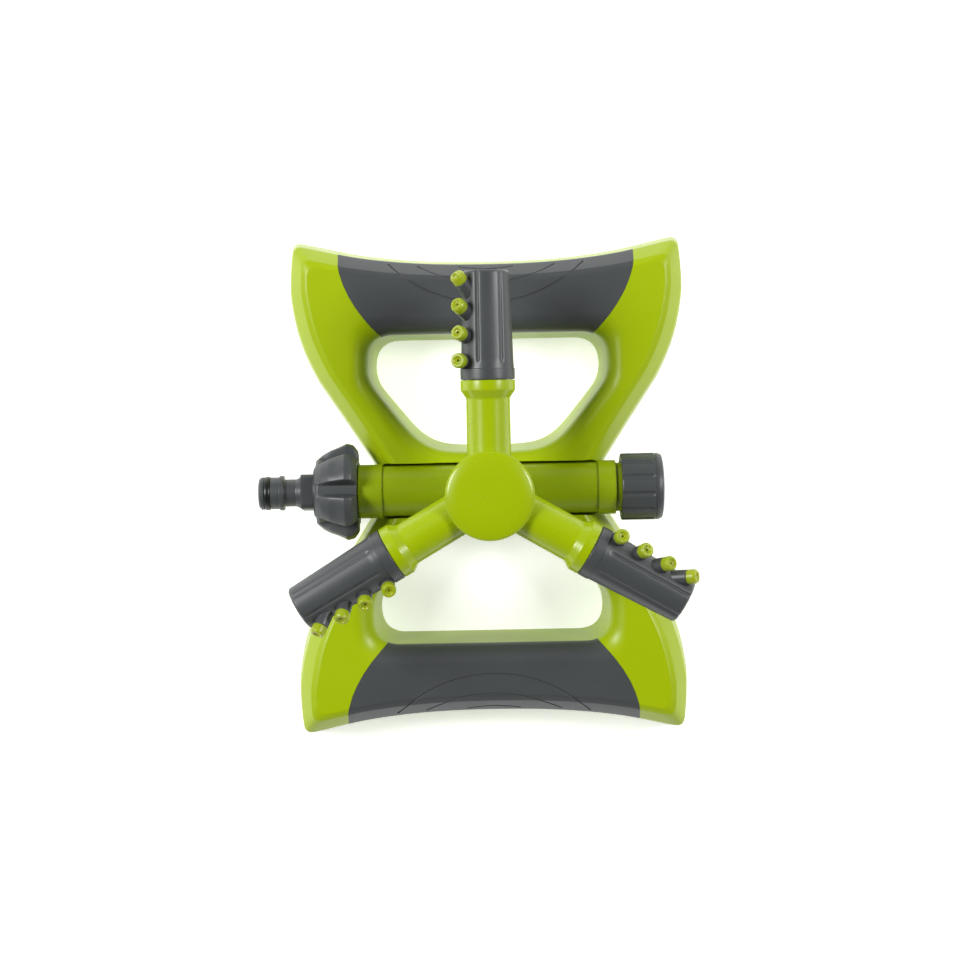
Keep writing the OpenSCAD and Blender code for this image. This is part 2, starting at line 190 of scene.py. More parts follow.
def section_rows(inside, floor):
    """Rows of points round a quarter of the base, from the foot of its outer wall over the top
    to the foot of the hand gap's wall. They lie `inside` deep in the material: a section's
    point moves against its own normal, and the feet go to the floor."""
    rows = []
    for edge, corners, side in ((outer_edge, outer_corners, 1), (gap_edge, gap_corners, -1)):
        slope = np.gradient(edge, axis=0)
        slope /= np.linalg.norm(slope, axis=1)[:, None]
        moved = edge + inside * np.stack([slope[:, 1], -slope[:, 0]], 1)
        moved[0, 1] = floor
        lines = []
        for inset, z in moved:
            plan = outline(corners, inset, side)
            lines.append(np.column_stack([plan, np.full(len(plan), z)]))
        rows.append(lines if side > 0 else lines[::-1])
    outer, gap = rows
    steps = np.linspace(0, 1, 5)[1:-1, None, None]
    flat = outer[-1] + steps * (gap[0] - outer[-1])
    return np.concatenate([outer, flat, gap])


def base_form(name, inside, floor=0.0):
    """The solid under the whole surface: four mirrored quarters, each with its underside and
    with fans that join the top and the underside to the middle."""
    rows = section_rows(inside, floor)
    loop = np.concatenate([rows, rows[:1]])
    flat = rows[len(outer_edge) - 1:len(rows) - len(gap_edge) + 1, 0]
    top = np.stack([flat, np.broadcast_to([0, 0, flat[0, 2]], flat.shape)])
    feet = rows[[0, -1], 0]
    under = np.stack([feet, np.broadcast_to([0, 0, floor], feet.shape)])
    signs = [np.array([sx, sy, 1]) for sx in (1, -1) for sy in (1, -1)]
    return solid(name, *[grid * sign for sign in signs for grid in (loop, top, under)])


def prism(name, plan, low, high):
    """A closed upright solid over a plan (points x, y round its middle)."""
    plan = np.vstack([plan, plan[:1]])
    middle = np.broadcast_to(plan[:-1].mean(0), plan.shape)
    rows = [(middle, low), (plan, low), (plan, high), (middle, high)]
    return solid(name, np.stack([np.column_stack([p, np.full(len(p), z)]) for p, z in rows]))


def circle(radius, count=64, x=0.0):
    """Points round a circle of that radius about (x, 0)."""
    angle = np.arange(count) * 2 * np.pi / count
    return np.column_stack([x + radius * np.cos(angle), radius * np.sin(angle)])


def box_plan(a, b, thick):
    """The plan of a straight plate from a to b: its four corners, half the thickness aside."""
    a, b = np.array(a, float), np.array(b, float)
    along = (b - a) / np.linalg.norm(b - a)
    aside = np.array([-along[1], along[0]]) * thick / 2
    return np.array([a - aside, b - aside, b + aside, a + aside])


pipe_z = sum(span("inlet_nipple", 2)) / 2
trough_r = 13.7
cradle_r = trough_r + 3
post_x = 24.0
post_top = 23

# The ribs of one quarter, each from its outer end to its inner end in plan
rib_thick = 2
ribs = [((60, 9), (30, 27)), ((84, 47), (48, 59)), ((94, 116), (52, 71)), ((33, 119), (31, 72))]

base = combine(base_form("base", 0), ("DIFFERENCE", base_form("hollow", wall, -1.0)))
works = prism("works", box_plan((-60, 0), (60, 0), 2 * cradle_r), pipe_z - cradle_r, 60)
for sx in (1, -1):
    for sy in (1, -1):
        for a, b in ribs:
            plan = box_plan(a, b, rib_thick) * [sx, sy]
            combine(works, ("UNION", prism("rib", plan[::sx * sy], 4, base_top - 0.8)))
combine(works, ("UNION", prism("spine", box_plan((-50, 0), (50, 0), 2.6), 0, post_top)))
combine(works, ("UNION", prism("post", circle(6), 0, post_top)))
for x in (-post_x, post_x):
    combine(works, ("UNION", prism("pad", circle(7, x=x), 12.5, post_top)))
combine(works, ("INTERSECT", base_form("within", 0.5)))
combine(base, ("UNION", works))


def turned(name, *rows, count=128):
    """A solid turned about z from rows (radius, height), closed from the last to the first."""
    line = np.array(rows, float)
    angle = np.linspace(0, 2 * np.pi, count + 1)
    grid = np.stack([line[:, :1] * np.cos(angle), line[:, :1] * np.sin(angle),
                     np.broadcast_to(line[:, 1:], (len(line), count + 1))], -1)
    return solid(name, np.concatenate([grid, grid[:1]]))


def lay(made, turn, shift=(0, 0, 0)):
    """Puts a solid's mesh in place: its points times the turn's rows, plus a shift in mm."""
    points = np.empty(len(made.data.vertices) * 3, np.float32)
    made.data.vertices.foreach_get("co", points)
    points = points.reshape(-1, 3) @ np.array(turn, float) + np.array(shift) * MILLIMETRE
    made.data.vertices.foreach_set("co", points.astype(np.float32).ravel())
    made.data.update()
    return made


# Rows say where a solid's own x, y and z go when it is laid along the pipe: z to +X, x down
along_pipe = [[0, 0, -1], [0, 1, 0], [1, 0, 0]]
trough = lay(turned("trough", (0, -70), (trough_r, -70), (trough_r, 70), (0, 70), count=160),
             along_pipe, (0, 0, pipe_z))
combine(base, ("DIFFERENCE", trough))

# Each screw's way in: a socket for the pipe's post, a well for the head, and the clear hole
for x in (-post_x, post_x):
    for radius, low, high in ((4.7, 19.2, 27.2), (4.3, -1, 15.5), (1.9, -1, 30)):
        combine(base, ("DIFFERENCE", prism("bore", circle(radius, x=x), low, high)))


# The grip's side edge in plan, and how many of an outline's points lie before the end bar
skin_x, skin_y, skin_bow = 73.2, 117.5, 0.0122
waist_points = 100


def bar_skin(name, over, under, spread=0.0, border=0.0):
    """A skin over the back end bar, from `over` to `under` inside the base's surface. Each of
    its rows runs across the bar from one side edge to the other: an edge bows outwards in plan,
    as x = skin_x - skin_bow (skin_y - y)^2, and `spread` moves it out. `border` draws the first
    and last rows in, as a share of a row's width."""
    skins = []
    for inside in (over, under):
        rows = []
        for row in section_rows(inside, 0.0)[1:-1]:
            beyond = row[:, 0] - skin_x - spread + skin_bow * (skin_y - row[:, 1]) ** 2
            bar = np.arange(waist_points, len(row))
            start = np.interp(0, beyond[bar][::-1], bar[::-1].astype(float))
            station = start + (len(row) - 1 - start) * np.linspace(0, 1, 121)
            half = np.stack([np.interp(station, np.arange(len(row)), row[:, axis])
                             for axis in range(3)], 1)
            rows.append(np.vstack([half, half[-2::-1] * [-1, 1, 1]]))
        rows = np.array(rows)
        rows[0] += border * (rows[1] - rows[0])
        rows[-1] += border * (rows[-2] - rows[-1])
        skins.append(rows)
    top, bottom = skins
    rim = [np.stack([top[e], bottom[e]]) for e in (0, -1)]
    ends = [np.stack([top[:, e], bottom[:, e]]) for e in (0, -1)]
    return solid(name, top, bottom, *rim, *ends)


grip_t = 1.2
seam = 0.12
for flip in (1, -1):
    recess = bar_skin("recess", -1.5, grip_t + seam / 4, spread=seam)
    recess = lay(recess, np.diag([flip, flip, 1]), (0, 0, -0.05))
    combine(base, ("DIFFERENCE", recess))


class Value:
    """A number that varies over a surface: the output of a shader node. Sums, products and
    powers of it add Math nodes to the same material."""

    def __init__(self, tree, socket):
        self.tree, self.socket = tree, socket

    def node(self, kind, settings=None, output=0, **sockets):
        """Adds any node: its settings are set first, then its sockets, whose names have an
        underscore for a space, get numbers, colours or links."""
        made = self.tree.nodes.new(kind)
        for name, setting in (settings or {}).items():
            if name == "stops":
                ramp = made.color_ramp.elements
                while len(ramp) < len(setting):
                    ramp.new(0.5)
                for stop, (position, colour) in zip(ramp, setting):
                    stop.position, stop.color = position, colour
            else:
                setattr(made, name, setting)
        for name, value in sockets.items():
            key = int(name[1:]) if name[0] == "i" and name[1:].isdigit() else name.replace("_", " ")
            if isinstance(value, Value):
                self.tree.links.new(value.socket, made.inputs[key])
            else:
                made.inputs[key].default_value = value
        return Value(self.tree, made.outputs[output])

    def math(self, operation, a, b=0.0):
        return self.node("ShaderNodeMath", {"operation": operation}, i0=a, i1=b)

    def __add__(self, other):
        return self.math("ADD", self, other)

    def __radd__(self, other):
        return self.math("ADD", other, self)

    def __sub__(self, other):
        return self.math("SUBTRACT", self, other)

    def __rsub__(self, other):
        return self.math("SUBTRACT", other, self)

    def __mul__(self, other):
        return self.math("MULTIPLY", self, other)

    def __rmul__(self, other):
        return self.math("MULTIPLY", other, self)

    def __pow__(self, other):
        return self.math("POWER", self, other)

    def within(self, low, high):
        """0 below low, 1 above high and a smooth step between."""
        return self.node("ShaderNodeMapRange", {"interpolation_type": "SMOOTHSTEP"},
                         Value=self, From_Min=low, From_Max=high)


def srgb(red, green, blue):
    """A screen colour of 0 to 255 as linear light: ((c + 0.055) / 1.055) ^ 2.4."""
    c = np.array([red, green, blue]) / 255
    linear = np.where(c <= 0.04045, c / 12.92, ((c + 0.055) / 1.055) ** 2.4)
    return (*[float(v) for v in linear], 1.0)


def moulded(name, colour, roughness, grain=0.35, depth=0.004, tone=0.06, scuffs=0.05, **shader):
    """Moulded plastic or rubber. Its colour drifts softly and lies a little paler on fine rubbed
    specks; its skin has the even fine grain of the steel mould, of `grain` mm, as bump; its
    roughness varies where it has been handled."""
    material = bpy.data.materials.new(name)
    material.use_nodes = True
    tree = material.node_tree
    surface = tree.nodes["Principled BSDF"]
    for socket, value in shader.items():
        surface.inputs[socket.replace("_", " ")].default_value = value
    place = Value(tree, tree.nodes.new("ShaderNodeTexCoord").outputs["Object"])
    drift = place.node("ShaderNodeTexNoise", Vector=place, Scale=38.0, Detail=3.0)
    cloud = place.node("ShaderNodeTexNoise", Vector=place, Scale=11.0, Detail=2.0)
    specks = place.node("ShaderNodeTexNoise", Vector=place, Scale=900.0, Detail=4.0, Roughness=0.7)
    rubbed = specks.within(0.56, 0.74) * drift.within(0.42, 0.62)
    fine = place.node("ShaderNodeTexVoronoi", {"feature": "SMOOTH_F1"}, Vector=place,
                      Scale=1000.0 / grain, Smoothness=0.6)
    shade = 1 + tone * (drift - 0.5) + 0.6 * tone * (cloud - 0.5)
    grey = place.node("ShaderNodeCombineColor", Red=shade, Green=shade, Blue=shade)
    base_colour = place.node("ShaderNodeMix", {"data_type": "RGBA", "blend_type": "MULTIPLY"},
                             output=2, i0=1.0, i6=colour, i7=grey)
    paler = tuple(0.75 * c + 0.25 * 0.6 for c in colour[:3]) + (1.0,)
    base_colour = place.node("ShaderNodeMix", {"data_type": "RGBA"}, output=2,
                             i0=rubbed * scuffs * 4, i6=base_colour, i7=paler)
    tree.links.new(base_colour.socket, surface.inputs["Base Color"])
    worn = roughness + 0.10 * (drift - 0.5) + scuffs * rubbed
    tree.links.new(worn.socket, surface.inputs["Roughness"])
    relief = fine + 0.5 * specks
    bump = place.node("ShaderNodeBump", Height=relief, Strength=1.0, Distance=depth * MILLIMETRE)
    tree.links.new(bump.socket, surface.inputs["Normal"])
    return material


def fit(piece, body, slot, material, *nodes, smooth=np.radians(32)):
    """Finishes a piece: smooth but for edges sharper than `smooth`, its material, the CAD nodes
    that it stands for and the body that carries it. The slot is not used."""
    piece.data.shade_smooth()
    piece.data.set_sharp_from_angle(angle=smooth)
    piece.data.materials.clear()
    piece.data.materials.append(material)
    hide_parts(*nodes)
    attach(piece, body)


lime = moulded("lime_plastic", srgb(160, 182, 0), 0.34, IOR=1.4)
fit(base, "base", "green_plastic", lime, "base_shell")

# ---------------------------------------------------------------------------------------
# Grips. A skin of dark-grey soft rubber is moulded over each end bar, flush in a recess with
# a fine seam round it. Three arcs, one inside the other, are cut in it as a pattern.
# ---------------------------------------------------------------------------------------

arc_radius = 68.0
arc_starts = (92.0, 101.9, 109.0)
groove_r = 0.5


def bar_height(x, y):
    """How high the bar's skin is at (x, y), from its distance in from the bar's outer edge."""
    lean = 12 * 2.4 / 98 * (np.abs(x) / 98) ** 1.4
    distance = (bar_edge(x) - y) / np.sqrt(1 + lean ** 2)
    return distance, np.interp(distance, outer_edge[:, 0], outer_edge[:, 1])


def groove(name, start):
    """A round cord laid along an arc in plan that starts at y = start, and down over the bar's
    outer edge: a ring of points, square to the path, at each step."""
    angle = np.linspace(-1.0, 1.0, 241)
    x, y = arc_radius * np.sin(angle), start + arc_radius * (1 - np.cos(angle))
    distance, height = bar_height(x, y)
    keep = distance > 4.2
    path = np.stack([x, y, height], 1)[keep]
    along = np.gradient(path, axis=0)
    along /= np.linalg.norm(along, axis=1)[:, None]
    aside = np.cross(along, [0, 0, 1])
    aside /= np.linalg.norm(aside, axis=1)[:, None]
    up = np.cross(aside, along)
    turn = np.linspace(0, 2 * np.pi, 13)[:, None]
    ring = path[:, None] + groove_r * (np.cos(turn) * aside[:, None] + np.sin(turn) * up[:, None])
    poles = [np.broadcast_to(path[e], (1, 13, 3)) for e in (0, -1)]
    return solid(name, np.concatenate([poles[0], ring, poles[1]]))


rubber = moulded("grip_rubber", srgb(68, 71, 72), 0.45, grain=0.5, depth=0.008, tone=0.08,
                 scuffs=0.04, IOR=1.45)
for flip, name in ((1, "grip_back"), (-1, "grip_front")):
    grip = bar_skin("soft_" + name, 0.0, grip_t, border=0.06)
    for start in arc_starts:
        combine(grip, ("DIFFERENCE", groove("groove", start)))
    lay(grip, np.diag([flip, flip, 1]))
    fit(grip, "base", "grip_rubber", rubber, name)

# ---------------------------------------------------------------------------------------
# Water pipe. A green tube that lies in the trough, with a collar and a G 3/4 thread at each
# end and an upright boss in the middle that the spindle is set in. Two blind posts below take
# the screws.
# ---------------------------------------------------------------------------------------

pitch = 1.814
run_out = 1.2
thread_root, thread_crest = 12.0, 13.15
inlet_end, outlet_end = span("water_pipe", 0)
pipe_bore = 9.3
boss_r, boss_top = span("water_pipe", 1)[1], span("water_pipe", 2)[1]
socket_r = 8


def thread_height(height, angle, low, high):
    """How far a thread stands up, from 0 at its root to 1 at its crest: a flattened cosine of
    the height less the angle, one pitch a turn, that fades out near low and high."""
    wave = np.cos(2 * np.pi * height / pitch - angle)
    fade = np.clip(np.minimum(height - low, high - height) / run_out, 0, 1)
    return fade * np.clip(0.5 + 0.9 * wave, 0, 1)


def threaded(name, outside, inside, threads, count=96):
    """A tube about z. `outside` and `inside` are profiles (radius, height); within each of the
    threads (low, high) the radius swings between the thread's root and crest."""
    angle = np.linspace(0, 2 * np.pi, count + 1)
    walls = []
    for line in (np.array(outside, float), np.array(inside, float)[::-1]):
        heights, radii = [line[:1, 1]], [line[:1, 0]]
        for a, b in zip(line[:-1], line[1:]):
            steps = 2
            for low, high in threads:
                if min(a[1], b[1]) >= low - 0.01 and max(a[1], b[1]) <= high + 0.01:
                    steps = max(2, int(abs(b[1] - a[1]) / pitch * 10))
            t = np.linspace(0, 1, steps)[1:]
            heights.append(a[1] + t * (b[1] - a[1]))
            radii.append(a[0] + t * (b[0] - a[0]))
        height = np.concatenate(heights)[:, None]
        radius = np.concatenate(radii)[:, None] + 0 * angle
        for low, high in threads:
            on_root = (height > low) & (height < high) & (abs(radius - thread_root) < 0.3)
            lift = (thread_crest - thread_root) * thread_height(height, angle, low, high)
            radius = np.where(on_root, radius + lift, radius)
        walls.append(np.stack([radius * np.cos(angle), radius * np.sin(angle),
                               height + 0 * angle], -1))
    grid = np.concatenate(walls)
    return solid(name, np.concatenate([grid, grid[:1]]))


pipe_outside = rounded([
    (11.4, inlet_end, 0), (12.0, inlet_end, 0.3), (12.0, -65.6, 0), (12.0, -64.8, 0),
    (13.3, -64.7, 0.35), (13.3, -52.9, 0.35), (12.4, -52.8, 0.2), (12.4, 53.3, 0.2),
    (13.3, 53.4, 0.35), (13.3, 62.1, 0.35), (12.0, 62.2, 0.1), (12.0, 63.4, 0),
    (12.0, outlet_end, 0.3), (11.4, outlet_end, 0)])
pipe = threaded("pipe", pipe_outside, [(pipe_bore, inlet_end), (pipe_bore, outlet_end)],
                [(inlet_end, -65.2), (64.6, outlet_end)])
lay(pipe, along_pipe, (0, 0, pipe_z))
boss = turned("boss", *rounded([(0, pipe_z, 0), (boss_r, pipe_z, 0), (boss_r, boss_top, 0.5),
                                (socket_r, boss_top, 0.2), (socket_r, pipe_z - 5, 0),
                                (0, pipe_z - 5, 0)]))
well = turned("well", (0, pipe_z - 1), (socket_r, pipe_z - 1), (socket_r, boss_top + 1),
              (0, boss_top + 1))
combine(pipe, ("UNION", boss), ("DIFFERENCE", well))
for x in (-post_x, post_x):
    combine(pipe, ("UNION", prism("post", circle(4.2, 48, x=x), 19.6, 28)),
            ("DIFFERENCE", prism("bore", circle(1.45, 32, x=x), 18, 27.4)))
waterway_r = pipe_bore - 0.01
waterway = turned("waterway", (0, -90), (waterway_r, -90), (waterway_r, 90), (0, 90))
combine(pipe, ("DIFFERENCE", lay(waterway, along_pipe, (0, 0, pipe_z))))
# Painted shade: the pipe's green is a little darker than the base's same plastic, standing in for
# the shade the rotor casts on it
shaded_pipe_green = moulded("pipe_plastic_shaded", srgb(147, 169, 0), 0.34, IOR=1.5)
fit(pipe, "base", "green_plastic", shaded_pipe_green, "water_pipe")

# ---------------------------------------------------------------------------------------
# Spindle and fasteners. A hollow white spindle stands in the pipe's boss, and the rotor turns
# on it between a thrust washer and a steel washer with its screw. Two more screws hold the
# pipe to the base. These keep their CAD shapes.
# ---------------------------------------------------------------------------------------

acetal = moulded("white_acetal", srgb(226, 226, 218), 0.32, grain=0.6, depth=0.001, tone=0.03,
                 scuffs=0.02, IOR=1.48)
seal = moulded("seal_rubber", srgb(22, 22, 23), 0.34, grain=0.4, depth=0.002, tone=0.1,
               scuffs=0.03, IOR=1.52)


def brushed(name, colour, roughness):
    """Stainless steel: fine rings of turning marks, from a wave about z, as bump, with a few duller
    and rougher spots."""
    material = bpy.data.materials.new(name)
    material.use_nodes = True
    tree = material.node_tree
    surface = tree.nodes["Principled BSDF"]
    surface.inputs["Metallic"].default_value = 1.0
    place = Value(tree, tree.nodes.new("ShaderNodeTexCoord").outputs["Object"])
    rings = place.node("ShaderNodeTexWave", {"wave_type": "RINGS", "rings_direction": "Z"},
                       Vector=place, Scale=1400.0, Distortion=1.5)
    spots = place.node("ShaderNodeTexNoise", Vector=place, Scale=240.0, Detail=3.0)
    duller = tuple(0.7 * c for c in colour[:3]) + (1,)
    tint = place.node("ShaderNodeMix", {"data_type": "RGBA"}, output=2,
                      i0=spots.within(0.5, 0.7), i6=colour, i7=duller)
    tree.links.new(tint.socket, surface.inputs["Base Color"])
    tree.links.new((roughness + 0.15 * spots).socket, surface.inputs["Roughness"])
    bump = place.node("ShaderNodeBump", Height=rings, Strength=0.6, Distance=0.01 * MILLIMETRE)
    tree.links.new(bump.socket, surface.inputs["Normal"])
    return material


steel = brushed("screw_steel", srgb(190, 190, 188), 0.25)
for node, material in (("spindle", acetal), ("thrust_washer", acetal), ("spindle_o_ring", seal),
                       ("inlet_washer", seal), ("cap_washer", seal), ("sleeve_o_ring_1", seal),
                       ("sleeve_o_ring_2", seal), ("sleeve_o_ring_3", seal),
                       ("retaining_washer", steel), ("retaining_screw", steel),
                       ("pipe_screws", steel)):
    cad_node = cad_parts[node]
    cad_node.data.materials.clear()
    cad_node.data.materials.append(material)

# ---------------------------------------------------------------------------------------
# Hose plug. A turned and moulded dark-grey plug that a quick hose connector snaps over: a
# chamfered nose, a black O-ring, a barrel, the retaining collar, a neck, a rounded square for
# a wrench, and inside the nut a flange on a flat washer.
# ---------------------------------------------------------------------------------------

graphite = moulded("dark_plastic", srgb(68, 71, 72), 0.4, grain=0.3, depth=0.003, tone=0.08,
                   scuffs=0.05, IOR=1.5)
plug_start, plug_end = span("inlet_nipple", 0)
plug_bore = 4.8
plug_line = rounded([
    (plug_bore, plug_start, 0.3), (7.2, plug_start, 0.4), (8.05, -113.0, 0.5), (8.05, -111.5, 0.15),
    (7.2, -111.45, 0), (7.2, -108.35, 0), (7.9, -108.3, 0.2), (7.9, -104.2, 0.15),
    (8.6, -103.9, 0.25), (8.6, -101.8, 0.3), (6.75, -101.6, 0.5), (6.75, -95.8, 1.2),
    (7.9, -93.6, 0.3), (8, -93.2, 0), (8, -86.95, 0.4), (9.7, -86.9, 0.2), (9.7, -82.5, 0.3),
    (12.2, -82.45, 0.3), (12.2, plug_end, 0.3), (plug_bore, plug_end, 0),
    (plug_bore, plug_start, 0)])
plug = turned("hose_plug", *plug_line, count=96)

# The square for the wrench has its corners turned off and sits a little askew
square_half, square_corner, square_turn = 8.5, 10.8, np.radians(-8)
angle = np.linspace(0, 2 * np.pi, 97)[:-1] + np.radians(45)
reach = np.minimum(square_half / np.maximum(abs(np.cos(angle)), abs(np.sin(angle))), square_corner)
rim = np.column_stack([reach * np.cos(angle), reach * np.sin(angle)])
rim = np.vstack([rim, rim[:1]])
rows = [(0.0, -93.3), (0.96, -93.3), (1.0, -92.9), (1.0, -87.3), (0.96, -86.9), (0.0, -86.9)]
square = solid("square", np.stack([np.column_stack([rim * share, np.full(len(rim), z)])
                                   for share, z in rows]))
lay(square, [[np.cos(square_turn), np.sin(square_turn), 0],
             [-np.sin(square_turn), np.cos(square_turn), 0], [0, 0, 1]])
drill = turned("drill", (0, -120), (plug_bore, -120), (plug_bore, -70), (0, -70), count=96)
combine(plug, ("UNION", square), ("DIFFERENCE", drill))
lay(plug, along_pipe, (0, 0, pipe_z))
fit(plug, "inlet", "dark_plastic", graphite, "inlet_nipple")

ring_angle = np.linspace(0, 2 * np.pi, 25)
ring_line = np.column_stack([7.75 + 0.62 * np.cos(ring_angle), -109.9 + 1.4 * np.sin(ring_angle)])
plug_ring = turned("plug_o_ring", *ring_line[:-1], count=96)
lay(plug_ring, along_pipe, (0, 0, pipe_z))
fit(plug_ring, "inlet", "seal_rubber", seal, "nipple_o_ring")

# ---------------------------------------------------------------------------------------
# Coupling nut. A dark-grey hand nut with six broad lobes that flare towards the pipe, with a
# rounded crest, over a G 3/4 thread. It draws the plug's flange against the pipe's end.
# ---------------------------------------------------------------------------------------

inner_root, inner_crest = 13.28, 12.2
nut_low, nut_high = span("coupling_nut", 0)
nut_seat = -82.6
nut_hole = 11.2
lobe_count, lobe_start = 6, np.radians(23)


def around(name, angle, *bands):
    """A solid about z from bands (radius, height), each a number or an array of rows whose
    values depend on the angle. It closes from the last band to the first."""
    radius, height = [np.concatenate([np.atleast_2d(band[part]) + 0 * angle for band in bands])
                      for part in (0, 1)]
    grid = np.stack([radius * np.cos(angle), radius * np.sin(angle), height], -1)
    return solid(name, np.concatenate([grid, grid[:1]]))


def inner_thread(low, high, angle):
    """The wall of a threaded hole, as a band from its upper end down: the thread stands inwards
    from inner_root to inner_crest."""
    height = np.linspace(low, high, int((high - low) / pitch * 8))[::-1, None]
    lift = (inner_root - inner_crest) * thread_height(height, angle, low, high)
    return inner_root - lift, height


body_line = rounded([(11.3, nut_low, 0), (12.1, nut_low, 0.3), (12.3, -85.7, 0.3),
                     (15.4, -85.6, 0.8), (16.6, -84.2, 1.2), (17.2, -65.5, 0.4),
                     (16.6, nut_high, 0)])
lobe_line = rounded([(11.3, nut_low, 0), (12.1, nut_low, 0.3), (12.3, -85.7, 0.3),
                     (15.8, -85.6, 0.6), (18.4, -82.6, 3), (21.0, -78.4, 12), (24.1, -70.6, 1.4),
                     (23.2, -67.2, 3), (20.2, -65.1, 0.8), (18.6, nut_high, 0)])


def nut_surface(angle):
    """The nut's outside, as a band. The radius goes from the body's profile to the lobes' by a
    smooth step of the angle from the nearest lobe's middle; each lobe is crowned by the square of
    that angle and scooped by a bell curve of height and angle."""
    levels = [np.linspace(nut_low, nut_high, 60), lobe_line[:, 1], body_line[:, 1]]
    height = np.unique(np.concatenate(levels))[:, None]
    body = np.interp(height, body_line[:, 1], body_line[:, 0])
    lobe = np.interp(height, lobe_line[:, 1], lobe_line[:, 0])
    half = np.pi / lobe_count
    off_lobe = np.degrees(abs((angle - lobe_start + half) % (2 * half) - half))
    side = np.clip((off_lobe - 18.5) / 4.5, 0, 1)
    scoop = 0.55 * np.exp(-((height + 75.5) / 4.2) ** 2) * np.exp(-(off_lobe / 11) ** 2)
    crown = 0.5 * (off_lobe / 20) ** 2
    lobe = lobe - (scoop + crown) * np.clip(lobe - 16.8, 0, 1)
    return body + np.clip(lobe - body, 0, None) * (1 - side ** 2 * (3 - 2 * side)), height


angle = np.linspace(0, 2 * np.pi, 361)
nut = around("hand_nut", angle, nut_surface(angle), (inner_root, nut_high),
             inner_thread(nut_seat, -65.2, angle), (nut_hole, nut_seat), (nut_hole, nut_low))
lay(nut, along_pipe, (0, 0, pipe_z))
fit(nut, "nut", "dark_plastic", graphite, "coupling_nut")

# ---------------------------------------------------------------------------------------
# End cap. A dark-grey screw cap that closes the pipe's far end on a rubber disc; twelve
# rounded grooves round it give the fingers hold, and a fine step runs round its end.
# ---------------------------------------------------------------------------------------

cap_r = 16.5
cap_low, cap_high = span("end_cap", 0)
cap_bottom = 81.55
flute_count, flute_start = 12, np.radians(190)
flute_r, flute_end = 1.75, 79.5
flute_centre = cap_r + 0.9


def finer(line, step, weights=(1, 1)):
    """A line with more points: each piece is cut evenly, about a `step` long. The weights say
    how much a piece's extent in radius and in height counts."""
    rows = []
    for a, b in zip(line[:-1], line[1:]):
        steps = max(2, int(np.linalg.norm((b - a) * weights) / step))
        rows.append(a + np.linspace(0, 1, steps)[:-1, None] * (b - a))
    return np.vstack(rows + [line[-1:]])


def cap_surface(angle):
    """The cap's outside, as a band: its profile, or the near wall of a round groove where that
    lies deeper. A groove's wall is at centre * cos(off) - sqrt(size^2 - (centre * sin(off))^2),
    off being the angle from its middle; past flute_end its size shrinks as a ball's does."""
    line = rounded([(15.4, cap_low, 0), (16.2, cap_low, 0.3), (cap_r, 65.4, 0.3),
                    (cap_r, 81.2, 0), (16.28, 81.35, 0), (16.28, 81.9, 0), (cap_r, 82.05, 0),
                    (16.4, 83.2, 1.0), (15.6, 84.9, 0.9), (13, 85.5, 4), (6, 85.9, 10),
                    (0, cap_high, 0)])
    line = finer(line, 0.3, weights=(0, 1))
    height = line[:, 1:]
    half = np.pi / flute_count
    off = abs((angle - flute_start + half) % (2 * half) - half)
    beyond = np.clip(height - flute_end, 0, None)
    size = np.sqrt(np.clip(flute_r ** 2 - beyond ** 2, 0, None))
    chord = size ** 2 - (flute_centre * np.sin(off)) ** 2
    near = flute_centre * np.cos(off) - np.sqrt(np.clip(chord, 0, None))
    return np.minimum(line[:, :1], np.where(chord > 0, near, np.inf)), height


angle = np.linspace(0, 2 * np.pi, 481)
cap = around("screw_cap", angle, cap_surface(angle), (0, cap_bottom), (inner_root, cap_bottom),
             inner_thread(64.9, 81.5, angle), (13.5, cap_low))
lay(cap, along_pipe, (0, 0, pipe_z))
fit(cap, "cap", "dark_plastic", graphite, "end_cap")

# ---------------------------------------------------------------------------------------
# Rotor. A green moulding: a hub that turns on the spindle, and three hollow arms that end in
# a flared bell with a spigot, on which a nozzle sleeve turns against an O-ring.
# ---------------------------------------------------------------------------------------

arm_z = sum(span("nozzle_sleeve_1", 2)) / 2
arm_end = span("rotor_body", 1)[1]
hub_low, hub_top, hub_r = span("rotor_body", 2)[0], 92.4, 19.5
spindle_bore, chamber_r, arm_bore = 7.06, 12, 6.4
hub_line = rounded([(0, hub_low, 0), (10.6, hub_low, 0.3), (12, 65.4, 0.6), (16, 70, 1.5),
                    (hub_r, 73.5, 1.5), (hub_r, hub_top, 0.6), (0, hub_top, 0)])
rotor = turned("rotor", *hub_line)


def arm_turn(i):
    """Where a solid's x, y and z go on arm i: z out along the arm, x down, y to its left."""
    heading = np.radians(90 + 120 * (i - 1))
    out, left = [np.cos(heading), np.sin(heading), 0], [-np.sin(heading), np.cos(heading), 0]
    return [[0, 0, -1], left, out]


arm_line = rounded([(0, 0, 0), (10.4, 0, 0), (10.4, 45.6, 2.2), (13, 49.4, 1.2), (13, 54, 0.35),
                    (12.0, 54, 0), (12.0, 54.26, 0), (9, 54.26, 0), (9, 62.6, 0), (8, 62.6, 0),
                    (8, 64.4, 0), (9, 64.4, 0), (9, 67.2, 0), (9.4, 67.6, 0.1), (9.4, 68.4, 0.1),
                    (9, 68.8, 0), (9, arm_end, 0.3), (0, arm_end, 0)])
for i in (1, 2, 3):
    combine(rotor, ("UNION", lay(turned("arm", *arm_line), arm_turn(i), (0, 0, arm_z))))
for radius, low, high in ((spindle_bore, 60, 89), (chamber_r, 74, 87), (chamber_r, 89.6, 99)):
    hollow = turned("hollow", (0, low), (radius, low), (radius, high), (0, high))
    combine(rotor, ("DIFFERENCE", hollow))
for i in (1, 2, 3):
    bore = turned("bore", (0, 11), (arm_bore, 11), (arm_bore, 80), (0, 80))
    combine(rotor, ("DIFFERENCE", lay(bore, arm_turn(i), (0, 0, arm_z))))
glossy_lime = moulded("glossy_lime_plastic", srgb(158, 180, 0), 0.25, IOR=1.5)
